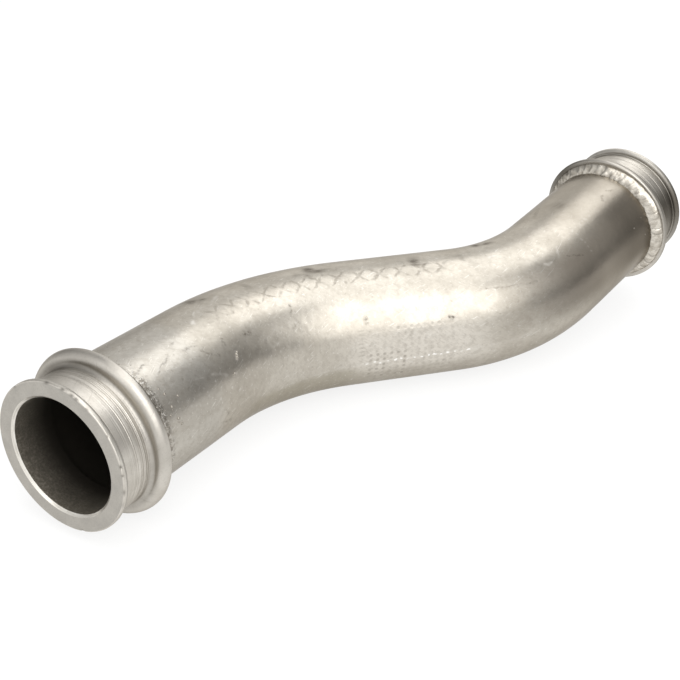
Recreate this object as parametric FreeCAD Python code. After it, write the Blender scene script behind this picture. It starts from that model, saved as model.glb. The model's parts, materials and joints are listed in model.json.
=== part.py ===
import FreeCAD, Part
import math
import os

# Coolant pipe: a steel tube with two bends in different planes and a turned, grooved fitting
# welded to each end. Sizes are in millimetres and angles in degrees.
# The pipe lies as it comes to rest on level ground: the middle run and the front collar touch
# the ground, and the twist between the two bends holds the rear end clear of it.
# Seen from above, X runs from the middle of the front end face to the middle of the rear one.

# Tube, with each run measured from an end face, or from bend to bend in the middle
tube_diameter = 60.0
tube_wall = 3.0
bend_radius = 105.0
front_run_length = 83.7
middle_run_length = 57.4
rear_run_length = 78.7
front_bend_angle = 43.4
rear_bend_angle = 34.6
bend_plane_twist = 23.9

# End fitting, with its groove floor level with the tube
neck_wall = 5.0
mouth_chamfer = 1.0
lip_height = 2.3
lip_width = 3.0
lip_front_radius = 0.5
lip_back_radius = 1.6
groove_width = 15.2
groove_corner_radius = 0.6
collar_height = 6.0
collar_width = 5.0
collar_root_radius = 1.8
collar_front_radius = 3.8
collar_back_radius = 0.9
socket_depth = 3.0
socket_clearance = 0.1

# Weld bead in the corner behind the collar
weld_to_collar_rim = 2.4
weld_leg_on_tube = 4.4
weld_crown = 0.8
ripple_pitch = 2.9
ripple_depth = 0.3
ripple_width = 1.8

# Derived radii, and distances along the fitting from its end face
tube_radius = tube_diameter / 2
neck_radius = tube_radius
bore_radius = neck_radius - neck_wall
lip_radius = neck_radius + lip_height
collar_radius = tube_radius + collar_height
socket_radius = tube_radius + socket_clearance
collar_front = lip_width + groove_width
collar_back = collar_front + collar_width
tube_stop = collar_back - socket_depth
weld_leg_on_collar = collar_height - weld_to_collar_rim

UP = FreeCAD.Vector(0, 0, 1)
MIDDLE = FreeCAD.Vector(1, 0, 0)
SIDEWAYS = FreeCAD.Vector(0, 1, 0)
ORIGIN = FreeCAD.Vector(0, 0, 0)


def resting_tilt():
    """Angle of the front bend's plane at which the front collar just reaches the ground."""
    turn = math.radians(front_bend_angle)
    rim_along = front_run_length - collar_back + collar_back_radius
    reach = bend_radius * (1 - math.cos(turn)) + rim_along * math.sin(turn)
    rim = collar_radius - collar_back_radius
    drop = tube_radius - collar_back_radius
    square = reach ** 2 + (rim * math.sin(turn)) ** 2
    linear = reach * drop
    constant = drop ** 2 - rim ** 2
    sine = (math.sqrt(linear ** 2 - square * constant) - linear) / square
    return math.degrees(math.asin(sine))


def bent_leg(heading, sideways, tilt, angle, run_length):
    """Route from one end of the middle run, through its bend, to the end face."""
    turn = math.radians(angle)
    lean = math.radians(tilt)
    side = sideways * math.cos(lean) + UP * math.sin(lean)
    start = heading * (middle_run_length / 2) + UP * tube_radius
    outward = heading * math.cos(turn) + side * math.sin(turn)
    bend_end = start + heading * (bend_radius * math.sin(turn)) + side * (bend_radius * (1 - math.cos(turn)))
    return {
        "start": start,
        "heading": heading,
        "bend_centre": start + side * bend_radius,
        "bend_axis": heading.cross(side),
        "angle": angle,
        "outward": outward,
        "bend_end": bend_end,
        "face_centre": bend_end + outward * run_length,
    }


def ring_face(centre, normal):
    """Cross-section of the tube wall."""
    outer = Part.Wire(Part.makeCircle(tube_radius, centre, normal))
    inner = Part.Wire(Part.makeCircle(tube_radius - tube_wall, centre, normal))
    return Part.makeFace([outer, inner], "Part::FaceMakerBullseye")


def bent_tube(front, rear):
    """Three straight runs joined by two bends, each end reaching to its fitting's tube stop."""
    middle_section = ring_face(front["start"], front["heading"])
    lengths = [middle_section.extrude(rear["start"] - front["start"])]
    for leg in (front, rear):
        bend_section = ring_face(leg["start"], leg["heading"])
        lengths.append(bend_section.revolve(leg["bend_centre"], leg["bend_axis"], leg["angle"]))
        tube_end = leg["face_centre"] - leg["outward"] * tube_stop
        run_section = ring_face(leg["bend_end"], leg["outward"])
        lengths.append(run_section.extrude(tube_end - leg["bend_end"]))
    return lengths[0].fuse(lengths[1:]).removeSplitter()


def profile_point(along, radius):
    """Point of a turned profile, at a distance along the axis and a radius from it."""
    return FreeCAD.Vector(radius, 0, along)


def turned(edges):
    """Solid of revolution about Z from the edges of a closed profile."""
    return Part.Face(Part.Wire(edges)).revolve(ORIGIN, UP, 360)


def rounded_profile(corners):
    """Edges of a closed profile from (along, radius, corner radius) in order.

    Two radii that are too large for the side between them are both reduced to fit it.
    """
    points = [profile_point(along, radius) for along, radius, _ in corners]
    roundings = [rounding for _, _, rounding in corners]
    for index, point in enumerate(points):
        side = point.distanceToPoint(points[index - 1])
        wanted = roundings[index] + roundings[index - 1]
        if wanted > side:
            roundings[index] *= side / wanted
            roundings[index - 1] *= side / wanted
    stretches = []
    for index, rounding in enumerate(roundings):
        corner = points[index]
        if rounding == 0:
            stretches.append([corner])
            continue
        to_previous = (points[index - 1] - corner).normalize()
        to_next = (points[(index + 1) % len(points)] - corner).normalize()
        half_angle = to_previous.getAngle(to_next) / 2
        trim = rounding / math.tan(half_angle)
        inward = (to_previous + to_next).normalize()
        middle = corner + inward * (rounding / math.sin(half_angle) - rounding)
        stretches.append([corner + to_previous * trim, middle, corner + to_next * trim])
    edges = []
    for index, stretch in enumerate(stretches):
        if len(stretch) > 1:
            edges.append(Part.Arc(*stretch).toShape())
        following = stretches[(index + 1) % len(stretches)]
        if stretch[-1].distanceToPoint(following[0]) > Part.Precision.confusion():
            edges.append(Part.LineSegment(stretch[-1], following[0]).toShape())
    return edges


def end_fitting():
    """Lip, groove and rounded collar outside, with a bore and a socket for the tube inside."""
    return turned(rounded_profile([
        (0, bore_radius + mouth_chamfer, 0),
        (0, lip_radius, lip_front_radius),
        (lip_width, lip_radius, lip_back_radius),
        (lip_width, neck_radius, groove_corner_radius),
        (collar_front, neck_radius, collar_root_radius),
        (collar_front, collar_radius, collar_front_radius),
        (collar_back, collar_radius, collar_back_radius),
        (collar_back, socket_radius, 0),
        (tube_stop, socket_radius, 0),
        (tube_stop, bore_radius, 0),
        (mouth_chamfer, bore_radius, 0),
    ]))


def weld_bead():
    """Convex fillet weld round the tube, with a ripple across the bead for each pass of the torch."""
    root = profile_point(collar_back, tube_radius)
    collar_toe = profile_point(collar_back, tube_radius + weld_leg_on_collar)
    tube_toe = profile_point(collar_back + weld_leg_on_tube, tube_radius)
    chord = (tube_toe - collar_toe).normalize()
    face_normal = SIDEWAYS.cross(chord)
    face_middle = (collar_toe + tube_toe) / 2
    crown = face_middle + face_normal * weld_crown
    bead = turned([
        Part.LineSegment(root, collar_toe).toShape(),
        Part.Arc(collar_toe, crown, tube_toe).toShape(),
        Part.LineSegment(tube_toe, root).toShape(),
    ])
    ripple_radius = (ripple_width ** 2 / 4 + ripple_depth ** 2) / (2 * ripple_depth)
    cutter_length = collar_toe.distanceToPoint(tube_toe)
    cutter_start = crown + face_normal * (ripple_radius - ripple_depth) - chord * (cutter_length / 2)
    cutter = Part.makeCylinder(ripple_radius, cutter_length, cutter_start, chord)
    ripple_count = round(2 * math.pi * crown.x / ripple_pitch)
    cutters = []
    for index in range(ripple_count):
        cutters.append(cutter.rotated(ORIGIN, UP, 360 * index / ripple_count))
    return bead.cut(cutters)


front_tilt = resting_tilt()
rear_tilt = bend_plane_twist - front_tilt
front = bent_leg(-MIDDLE, -SIDEWAYS, front_tilt, front_bend_angle, front_run_length)
rear = bent_leg(MIDDLE, SIDEWAYS, rear_tilt, rear_bend_angle, rear_run_length)

nodes = {"bent_tube": bent_tube(front, rear)}
for end, leg in (("front", front), ("rear", rear)):
    seat = FreeCAD.Placement(leg["face_centre"], FreeCAD.Rotation(UP, -leg["outward"]))
    nodes[end + "_end_fitting"] = end_fitting().transformed(seat.toMatrix())
    nodes[end + "_weld_bead"] = weld_bead().transformed(seat.toMatrix())

# Turn the line between the end faces to X, then centre the whole pipe over the origin
end_to_end = rear["face_centre"] - front["face_centre"]
heading_angle = math.degrees(math.atan2(end_to_end.y, end_to_end.x))
for name, shape in nodes.items():
    nodes[name] = shape.rotated(ORIGIN, UP, -heading_angle)
pipe_box = Part.makeCompound(list(nodes.values())).optimalBoundingBox(False, False)
to_origin = FreeCAD.Vector(-pipe_box.Center.x, -pipe_box.Center.y, 0)

os.makedirs("parts", exist_ok=True)
for name, shape in nodes.items():
    shape.translated(to_origin).exportStep("parts/" + name + ".step")
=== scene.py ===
import json
import math
import random

import bmesh
import bpy
import numpy as np
from mathutils import Matrix, Vector


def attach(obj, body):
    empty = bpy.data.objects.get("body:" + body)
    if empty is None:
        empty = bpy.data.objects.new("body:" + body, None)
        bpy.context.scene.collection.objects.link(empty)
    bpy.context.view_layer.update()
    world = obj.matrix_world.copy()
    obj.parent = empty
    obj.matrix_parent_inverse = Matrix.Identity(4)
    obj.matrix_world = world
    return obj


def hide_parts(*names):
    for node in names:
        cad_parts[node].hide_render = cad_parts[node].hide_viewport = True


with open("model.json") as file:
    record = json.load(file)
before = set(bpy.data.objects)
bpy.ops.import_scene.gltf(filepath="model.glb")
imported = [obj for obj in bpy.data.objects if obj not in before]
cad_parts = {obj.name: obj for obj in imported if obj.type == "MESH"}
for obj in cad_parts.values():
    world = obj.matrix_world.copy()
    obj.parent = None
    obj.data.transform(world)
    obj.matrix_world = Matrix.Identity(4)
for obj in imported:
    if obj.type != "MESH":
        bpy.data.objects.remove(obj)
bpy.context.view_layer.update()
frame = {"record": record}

# Sizes of the pipe in millimetres and degrees, as the solids have them
MM = 0.001
TUBE_RADIUS = 30.0
TUBE_WALL = 3.0
BEND_RADIUS = 105.0
FRONT_RUN = 83.7
MIDDLE_RUN = 57.4
REAR_RUN = 78.7
FRONT_BEND = 43.4
REAR_BEND = 34.6
NECK_WALL = 5.0
MOUTH_CHAMFER = 1.0
LIP_HEIGHT = 2.3
LIP_WIDTH = 3.0
GROOVE_WIDTH = 15.2
COLLAR_HEIGHT = 6.0
COLLAR_WIDTH = 5.0
SOCKET_DEPTH = 3.0
SOCKET_CLEARANCE = 0.1
WELD_TO_RIM = 2.4
WELD_ON_TUBE = 4.4
WELD_CROWN = 0.8
LIP_FRONT_ROUNDING = 0.5
LIP_BACK_ROUNDING = 1.6
GROOVE_ROUNDING = 0.6
COLLAR_ROOT_ROUNDING = 1.8
COLLAR_FRONT_ROUNDING = 3.8
COLLAR_BACK_ROUNDING = 0.9

# Radii, and distances from an end face, that follow from them
BORE_RADIUS = TUBE_RADIUS - NECK_WALL
LIP_RADIUS = TUBE_RADIUS + LIP_HEIGHT
COLLAR_RADIUS = TUBE_RADIUS + COLLAR_HEIGHT
SOCKET_RADIUS = TUBE_RADIUS + SOCKET_CLEARANCE
COLLAR_FRONT = LIP_WIDTH + GROOVE_WIDTH
COLLAR_BACK = COLLAR_FRONT + COLLAR_WIDTH
TUBE_STOP = COLLAR_BACK - SOCKET_DEPTH
WELD_ON_COLLAR = COLLAR_HEIGHT - WELD_TO_RIM

# Fineness of the meshes
ROUNDING_SPACING = 0.3
FITTING_COLUMNS = 440
TUBE_COLUMNS = 192
TUBE_OUTER_RINGS = 260
TUBE_INNER_RINGS = 130
WELD_COLUMNS = 900
WELD_RINGS = 22
DROP_SUBDIVISIONS = 2
SHARP_ANGLE = 40.0
CLOSE = 0.01

# Seeds of the random draws
TUBE_SEED = 5
SHOULDER_SEED = 9
FITTING_SEED = {"front": 3, "rear": 4}
SCALE_SEED = {"front": 21, "rear": 22}
BEAD_SEED = {"front": 7, "rear": 8}
LUMP_SEED = {"front": 17, "rear": 18}
DROP_SEED = {"front": 31, "rear": 32}

# Wavelengths of the uneven forms
TUBE_WAVES = (22, 31, 40, 55, 75)
LINE_WAVES = (45, 70, 110)
BURR_WAVES = (2.9, 4.7, 7.3, 11.0)
WEAR_WAVES = (9, 14, 22, 35)
BEAD_WAVES = (11, 17, 28, 45)
SHOULDER_WAVES = (8, 13, 24)
LUMP_WAVES = (3.4, 4.6, 6.0, 8.0)

# How far the skins lie inside their solids, and how deep a bead's toe sinks into the tube
TUBE_INSET = 0.05
TUBE_WAVE_HEIGHT = 0.04
FITTING_INSET = 0.03
COLLAR_WEAR = 0.05
WELD_SINK = 0.1

# Lines of the lathe tool in the groove
LINE_COUNT = 60
LINES_FROM = 6.5
LINES_TO = 16.4
LINE_DEPTH = (0.02, 0.07)
LINE_HALF_WIDTH = (0.11, 0.18)
LINE_CROWDING = 0.7
LINE_FADE = 1.6

# Painted shade on the fittings, as strengths from 0 to 1, and the sizes and places of its spots
LIP_CORNER_SHADE = 0.5
LIP_CORNER_SIZE = 1.2
COLLAR_CORNER_SHADE = 0.55
COLLAR_CORNER_SIZE = 1.5
COLLAR_CORNER_OFFSET = 0.5
FLANK_SHADE = 0.5
FLANK_HEIGHT = 2.4
FLANK_SIZE = 1.6
FLANK_DEPTH = 1.1
COLLAR_SHADE = 0.18
CORNER_SHADE_BASE = 0.45

# Limits of the zones of the fittings, and the depth from which the bore's painted shade is darkest
RIM_DEPTH = 0.45
LIP_FOOT = 1.0
BORE_SHADE_DEPTH = 17.0

# Painted shade on one side of the fittings: zone, strength, then middle and half width in degrees from the
# top, and the same two angles for the side where the collar has no painted shade and for the side with
# most painted shade in its corners
SHADED_PATCHES = {
    "front": [
        ("groove", 0.35, -35.0, 25.8),
        ("groove", 0.14, 70.0, 14.3),
    ],
    "rear": [
        ("groove", 0.9, 72.0, 36.0),
        ("lip", 0.9, 72.0, 36.0),
        ("rim", 0.55, 75.0, 40.0),
        ("collar", 0.85, -50.0, 40.0),
    ],
}
COLLAR_UNSHADED_SIDE = (125.0, 28.6)
SHADED_CORNER_SIDE = (-30.0, 60.0)

# Edge of the lip: middle angle in degrees, depth and half size round it of each nick
LIP_NICKS = [
    (76.0, 0.5, 0.9),
    (82.5, 0.4, 0.6),
    (95.6, 0.35, 1.3),
    (107.0, 0.18, 1.8),
    (57.5, -0.15, 0.9),
    (53.5, 0.3, 0.6),
    (20.5, 0.35, 1.0),
    (16.5, 0.4, 1.3),
    (8.0, 0.35, 1.0),
    (-6.0, 0.4, 1.2),
    (31.0, 0.25, 0.7),
    (-40.0, 0.3, 0.9),
    (165.0, 0.35, 0.9),
]
NICK_TURN = {"front": 0.0, "rear": 140.0}
NICK_REACH = 0.7
NICK_SHARE = 0.6
# Strength of the painted shade in the nicks
NICK_SHADE = 1.7
BURR_MIDDLE = 32.0
BURR_HALF_WIDTH = 24.0
BURR_ALONG = 1.4
BURR_WIDTH = 0.5
BURR_HEIGHT = 0.12

# Weld beads: scales, lumps and the lobes of the toe, then the middle and half width of the fuller and the
# shaded side in degrees from the top
SCALE_PITCH = (2.4, 5.6)
SCALE_SIZE = (0.15, 1.0)
SCALE_LAG = 1.0
SCALE_SLANT = 1.1
SCALE_RISE = 0.3
SCALE_FALL = 0.7
SCALE_BASE = 0.45
SCALE_WAVE = 0.8
SCALE_HEIGHT = 0.44
LUMP_HEIGHT = 0.5
LOBE_SIZE = (0.2, 1.0)
LOBE_REACH = 0.6
CROWN_BASE = 0.6
CROWN_WAVE = 0.3
TOE_TRIM = 0.9
TOE_WAVE = 0.5
SHOULDER_TRIM = 0.1
SHOULDER_WAVE = 0.6
FULLER_HEIGHT = 0.95
FULLER_SIDE = (70.0, 45.0)
SHADED_SIDE = (-62.0, 28.6)

# Painted shade and dark lines on the beads, as strengths from 0 to 1, with the half widths of the lines as
# shares of the bead
CREVICE_SHADE = 0.9
SHOULDER_LINE_DIRT = 0.45
SHOULDER_LINE_WIDTH = 0.06
TOE_LINE_DIRT = 0.6
TOE_LINE_WIDTH = 0.05
SHADED_SIDE_DARKNESS = 0.75
SHADED_CREST = 0.55

# Drops of weld metal: how many are scattered, how far and over which angles in radians, and their radii
DROP_COUNT = {"front": 60, "rear": 18}
DROP_SPREAD = 7.0
DROP_ANGLES = (-0.9, 1.5)
DROP_SIZE = (0.1, 0.3)
DROP_FLATNESS = 0.55

# Lamps, with sizes and places in metres, angles in degrees and the brightness they show in a mirror
LIT_POINT = (0, 0, 0.035)
KEY_DIRECTION = (-100, 35)
KEY_DISTANCE = 1.5
KEY_SIZE = (1.4, 1.4)
KEY_RADIANCE = 1.72
OVERHEAD_PLACE = (0.466, -0.043, 1.5)
OVERHEAD_TURN = 32.0
OVERHEAD_SIZE = (2.55, 1.15)
OVERHEAD_RADIANCE = 1.62

# Fill light: base strength, then direction, cosine at the edge and added strength of each brighter side
FILL_BASE = 0.34
FILL_LOBES = [
    (-165, 15, -0.2, 0.6),
    (-165, 42, 0.88, 0.9),
    (46, 4, 0.9, 0.5),
    (52, 26, 0.8, 0.6),
    (6, 45, 0.87, 0.45),
    (-50, 33, 0.9, 0.5),
    (-85, 32, 0.66, 0.35),
]

# Floor, with its half size in metres
FLOOR_REACH = 6.0
FLOOR_COLOUR = (0.8, 0.8, 0.79, 1)
FLOOR_SHADED = (0.22, 0.22, 0.218, 1)
FLOOR_GLOW = 0.78

# Camera, with its places in metres and its roll in degrees
CAMERA_PLACE = (-0.29206, -0.31759, 0.27319)
CAMERA_AIM = (0.00797, 0.03962, 0.0)
CAMERA_ROLL = 0.385
CAMERA_LENS = 54.304
CAMERA_SENSOR = 36.0
CAMERA_NEAR = 0.01

# Marks on the tube. A place is millimetres along the tube from the front end face, then millimetres round
# it from the top towards the camera's side.
CROSS_START = 87.8
CROSS_END = 208.0
CROSS_END_FADE = 14.0
CROSS_PITCH = 10.25
CROSS_ROW = 7.8
CROSS_SLOPE = 1.08
CROSS_WIDTH = 1.5
CROSS_CORE = 0.45
CROSS_TIPS = (4.8, 3.4)

# Fields of dots: first and last place, pitch along and across, radius, stretch along and strength
CLAMP_DOTS = [
    ((170.2, 48.5), (187.0, 63.6), (3.32, 3.0), 0.9, 1.0, 1.0),
    ((170.2, 36.5), (211.0, 63.6), (3.32, 3.0), 0.9, 1.0, 0.4),
    ((166.0, 36.0), (166.0, 48.0), (40.0, 2.0), 0.5, 3.6, 0.7),
    ((170.2, 51.0), (211.0, 51.0), (3.32, 40.0), 0.6, 1.0, 0.3),
]
# Painted highlights on the ridges between the clamp's dimples, as a field of dashes
HIGHLIT_RIDGE_DASHES = [
    ((168.5, 52.9), (218.0, 52.9), (3.32, 6.0), 0.55, 1.5, 1.0),
]
RUBBED_DOTS = [
    ((283.0, 12.6), (303.0, 12.6), (3.1, 6.0), 0.7, 1.3, 0.2),
    ((286.0, 16.0), (286.0, 28.0), (40.0, 2.7), 0.75, 0.9, 0.2),
]
DOT_EDGE = 0.6
DOT_RIM = 1.3
DOT_CORE = 0.4

# Start, end, width and strength of each dark stroke: creases, nicks and scratches
DARK_STROKES = [
    ((57.0, 15.3), (63.5, 16.4), 1.1, 0.4),
    ((64.6, 19.5), (67.0, 23.0), 1.1, 0.45),
    ((67.0, 23.0), (70.5, 25.5), 1.2, 0.45),
    ((76.0, 22.5), (77.6, 19.5), 1.5, 0.4),
    ((32.5, 13.0), (36.0, 12.0), 1.2, 0.45),
    ((39.0, 18.0), (42.0, 16.4), 0.9, 0.45),
    ((43.0, 16.0), (48.8, 14.4), 1.0, 0.45),
    ((54.0, 10.4), (56.5, 9.6), 1.2, 0.3),
    ((63.5, 47.0), (66.5, 50.5), 1.3, 0.3),
    ((64.0, 53.0), (69.0, 55.0), 1.4, 0.3),
    ((91.4, 23.0), (94.6, 23.1), 2.2, 0.75),
    ((123.6, 28.4), (125.2, 27.2), 1.9, 0.35),
    ((126.5, 21.4), (127.2, 17.6), 1.3, 0.5),
    ((168.0, 29.8), (168.8, 32.6), 1.8, 0.5),
    ((208.8, 34.9), (210.6, 35.2), 1.7, 0.8),
    ((228.0, 23.2), (252.0, 26.8), 0.9, 0.42),
    ((272.6, 21.6), (280.4, 25.6), 0.9, 0.5),
    ((286.5, -10.5), (295.0, -14.0), 2.4, 0.25),
    ((317.0, 11.0), (320.0, 9.0), 1.3, 0.35),
    ((324.5, 9.2), (328.5, 10.6), 1.3, 0.35),
]

# The same for light strokes: rubbed ridges and bright scratches, and at the end two long painted
# highlights
LIGHT_STROKES = [
    ((73.0, 6.6), (74.6, 5.4), 1.6, 0.9),
    ((75.5, 4.0), (80.5, 1.2), 1.2, 0.6),
    ((82.0, 2.0), (86.0, 0.4), 1.2, 0.4),
    ((91.0, 1.2), (98.5, -2.0), 1.4, 0.6),
    ((61.0, -2.6), (63.0, -3.6), 1.4, 0.5),
    ((52.0, 27.6), (58.0, 29.4), 1.0, 0.4),
    ((62.0, 30.0), (69.0, 33.6), 1.2, 0.4),
    ((106.0, 33.0), (110.5, 32.2), 1.3, 0.45),
    ((259.5, 20.4), (263.0, 21.0), 1.5, 0.45),
    ((267.5, 19.8), (271.0, 15.0), 1.2, 0.4),
    ((236.0, 6.4), (240.0, 6.8), 1.5, 0.7),
    ((78.2, 30.2), (80.2, 27.4), 1.5, 0.9),
    ((73.0, 35.3), (74.2, 34.6), 1.2, 0.7),
    # Two long faint painted highlights along the row of ridges
    ((110.0, 54.8), (170.0, 53.2), 1.3, 0.22),
    ((170.0, 53.2), (246.0, 51.6), 1.3, 0.22),
]
STROKE_REACH = 0.95

# Middle, half length, half width and strength of each dark stain
STAINS = [
    ((148.5, -3.0), 2.6, 3.4, 1.1),
    ((152.5, 0.0), 4.6, 1.6, 0.95),
    ((141.5, 0.4), 3.0, 1.2, 0.4),
    ((146.0, 3.0), 1.2, 3.0, 0.5),
    ((199.0, 1.6), 2.4, 3.4, 1.0),
    ((200.5, 5.0), 3.6, 1.2, 0.7),
    ((221.5, 1.2), 2.6, 1.2, 0.6),
    ((222.8, 4.0), 1.3, 2.6, 0.55),
    ((237.0, -8.6), 2.6, 3.0, 1.0),
    ((243.4, -6.6), 3.0, 1.6, 1.1),
    ((89.0, -9.0), 2.6, 5.0, 0.75),
    ((92.6, -4.8), 2.0, 1.4, 0.85),
    ((115.4, -2.0), 1.3, 2.6, 0.5),
    ((114.2, 0.6), 1.0, 1.2, 0.4),
    ((299.0, -3.4), 3.0, 3.0, 0.45),
    ((192.8, 2.0), 0.9, 2.4, 0.35),
    ((84.0, 24.5), 3.0, 2.2, 0.25),
    ((98.0, 27.0), 3.4, 2.6, 0.24),
    ((112.0, 30.5), 4.2, 1.8, 0.22),
    ((127.5, 26.5), 1.8, 4.6, 0.3),
    ((136.0, 22.0), 3.6, 1.6, 0.16),
    ((160.0, 7.0), 5.0, 2.6, 0.16),
    ((181.0, 8.0), 6.0, 2.4, 0.18),
    ((205.0, 8.6), 7.0, 2.4, 0.2),
    ((226.0, 9.0), 3.0, 2.2, 0.22),
]

# Drops that stuck to the tube one by one: place and radius
PLACED_DROPS = {
    "front": [
        ((79.6, 28.4), 0.9),
        ((79.0, 29.5), 0.75),
        ((80.3, 27.6), 0.5),
        ((78.3, 30.3), 0.45),
        ((73.9, 34.9), 0.6),
        ((73.1, 35.4), 0.45),
        ((35.0, 32.0), 0.6),
        ((40.2, 29.6), 0.5),
        ((36.2, 37.6), 0.7),
        ((37.2, 40.4), 0.65),
        ((36.0, 39.0), 0.45),
        ((34.8, 26.2), 0.55),
        ((33.6, 23.4), 0.5),
        ((32.9, 34.8), 0.5),
    ],
    "rear": [],
}

# Zones of the tube's finish and of painted light and shade: first and last place along it and the fade
# beyond them, then the same across.
# A zone that runs on past the rear end or past the seam underneath doesn't fade there.
PAST_END = 400.0
PAST_SEAM = 100.0
# Lighter band by the clamp's dimples: burnished, with painted light
BURNISHED_AND_LIT = ((172.0, 212.0, 26.0), (42.0, 55.0, 8.0))
# Painted shade along the underside of the first bend
SHADED_UNDERSIDE = ((96.0, 156.0, 20.0), (58.0, PAST_SEAM, 6.0))
# Painted shade on a band of the front run
SHADED_FRONT_BAND = ((30.0, 92.0, 20.0), (32.0, 42.0, 7.0))
# Heat tint on a band of the rear run, with painted shade
HEAT_TINT_AND_SHADE = ((282.0, PAST_END, 68.0), (26.0, 42.0, 13.0))
# Darker still by the rear weld: scorching, with painted shade
SCORCH_AND_SHADE = ((322.0, PAST_END, 34.0), (18.0, 46.0, 10.0))
SOOTED = ((24.0, 29.6, 3.0), (18.0, PAST_SEAM, 14.0))
CLEAN_END = (68.0, 58.0)
# Rear run darker all round: heat tint, with painted shade
REAR_TINT_AND_SHADE = (258.0, 304.0)

# Colours that several finishes share
METAL_EDGE = (0.6, 0.58, 0.55, 1)
RUBBED_BRIGHT = (0.72, 0.7, 0.655, 1)
WHITE = (1, 1, 1, 1)

UP = np.array([0.0, 0.0, 1.0])
# The mesh attribute holds real stains and painted shade
UV_NAME = "surface"
STAIN_AND_SHADE_NAME = "stain_and_shade"


def unit(vector):
    """Vector, or each vector of an array, made one long."""
    return vector / np.linalg.norm(vector, axis=-1, keepdims=True)


def end_face(bore_name):
    """Centre of an end face in millimetres and its outward direction, from the bore behind it."""
    bore = next(mount for mount in frame["record"]["mounts"] if mount["name"] == bore_name)
    outward = np.array(bore["axis"])
    to_face = bore["dims"]["length_mm"] / 2 + MOUTH_CHAMFER
    return np.array(bore["pos_m"]) / MM + outward * to_face, outward


def make_route():
    """Straight runs and bends from the front end face to the rear one, with a level middle run."""
    front_centre, front_outward = end_face("front_bore")
    rear_outward = end_face("rear_bore")[1]
    level = math.hypot(front_outward[0], front_outward[1])
    front_turn = math.acos(math.cos(math.radians(FRONT_BEND)) / level)
    angle = math.atan2(-front_outward[1], -front_outward[0]) - front_turn
    headings = [-front_outward, np.array([math.cos(angle), math.sin(angle), 0.0]), rear_outward]
    runs = [FRONT_RUN, MIDDLE_RUN, REAR_RUN]
    turns = [math.radians(FRONT_BEND), math.radians(REAR_BEND)]
    route = []
    start = front_centre
    gone = 0.0
    for index, heading in enumerate(headings):
        route.append({"from": gone, "start": start, "heading": heading, "towards": None})
        start = start + heading * runs[index]
        gone += runs[index]
        if index == len(turns):
            break
        following = headings[index + 1]
        towards = unit(following - heading * np.dot(heading, following))
        route.append({"from": gone, "start": start, "heading": heading, "towards": towards})
        turn = turns[index]
        start = start + (heading * math.sin(turn) + towards * (1 - math.cos(turn))) * BEND_RADIUS
        gone += BEND_RADIUS * turn
    return route, gone


ROUTE, ROUTE_LENGTH = make_route()


def along_route(distance):
    """Centre of the tube, and its top and side directions, at distances from the front end face."""
    centre = np.empty(distance.shape + (3,))
    tangent = np.empty(distance.shape + (3,))
    for piece in ROUTE:
        here = (distance >= piece["from"]) | (piece is ROUTE[0])
        gone = (distance[here] - piece["from"])[:, None]
        if piece["towards"] is None:
            centre[here] = piece["start"] + piece["heading"] * gone
            tangent[here] = piece["heading"]
            continue
        turn = gone / BEND_RADIUS
        swing = piece["heading"] * np.sin(turn) + piece["towards"] * (1 - np.cos(turn))
        centre[here] = piece["start"] + swing * BEND_RADIUS
        tangent[here] = piece["heading"] * np.cos(turn) + piece["towards"] * np.sin(turn)
    side = unit(np.cross(tangent, UP))
    return centre, np.cross(side, tangent), side


def surface_points(distance, radius, angle):
    """Points in metres at a distance along the tube, a radius, and an angle round from its top."""
    centre, top, side = along_route(distance)
    outward = top * np.cos(angle)[..., None] + side * np.sin(angle)[..., None]
    return (centre + outward * radius[..., None]) * MM


def from_end(end, along):
    """Distance along the route at a distance in from the front or the rear end face."""
    return along if end == "front" else ROUTE_LENGTH - along


def ring_angles(columns):
    """Angles of a ring's points, with the seam underneath."""
    return np.linspace(-math.pi, math.pi, columns, endpoint=False)


def add_object(name, data):
    """Object in the scene that holds a mesh, a lamp or a camera."""
    holder = bpy.data.objects.new(name, data)
    bpy.context.scene.collection.objects.link(holder)
    return holder


def ring_mesh(name, distance, radius, lengths, finishes, materials, stain_and_shade):
    """Closed skin from rings of points, each row of faces with the finish of its first ring.

    The distances, radii, and stains with painted shade, are arrays of rings and columns. The UV map holds
    millimetres round the tube and millimetres along the section.
    """
    rings, columns = radius.shape
    angle = np.broadcast_to(ring_angles(columns), radius.shape)
    points = surface_points(distance, radius, angle).reshape(-1, 3)
    ring = np.arange(rings)[:, None]
    column = np.arange(columns)[None, :]
    next_ring = (ring + 1) % rings
    next_column = (column + 1) % columns
    corners = [ring * columns + column, ring * columns + next_column,
               next_ring * columns + next_column, next_ring * columns + column]
    quads = np.stack(np.broadcast_arrays(*corners), axis=-1).reshape(-1, 4)
    mesh = bpy.data.meshes.new(name)
    mesh.from_pydata(points.tolist(), [], quads.tolist())
    arc = TUBE_RADIUS * 2 * math.pi / columns
    across = (column - columns / 2) * arc + np.zeros((rings, 1))
    length = np.asarray(lengths)[:, None] + np.zeros((1, columns))
    following = np.roll(length, -1, axis=0)
    uv = np.stack([across, length, across + arc, length,
                   across + arc, following, across, following], axis=-1)
    layer = mesh.uv_layers.new(name=UV_NAME)
    layer.uv.foreach_set("vector", uv.astype(np.float32).ravel())
    layer = mesh.attributes.new(STAIN_AND_SHADE_NAME, "FLOAT", "POINT")
    layer.data.foreach_set("value", stain_and_shade.astype(np.float32).ravel())
    mesh.polygons.foreach_set("material_index", np.repeat(finishes, columns).astype(np.int32))
    for material in materials:
        mesh.materials.append(material)
    skin = bmesh.new()
    skin.from_mesh(mesh)
    bmesh.ops.recalc_face_normals(skin, faces=skin.faces)
    skin.to_mesh(mesh)
    skin.free()
    mesh.shade_smooth()
    mesh.set_sharp_from_angle(angle=math.radians(SHARP_ANGLE))
    return add_object(name, mesh)


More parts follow.
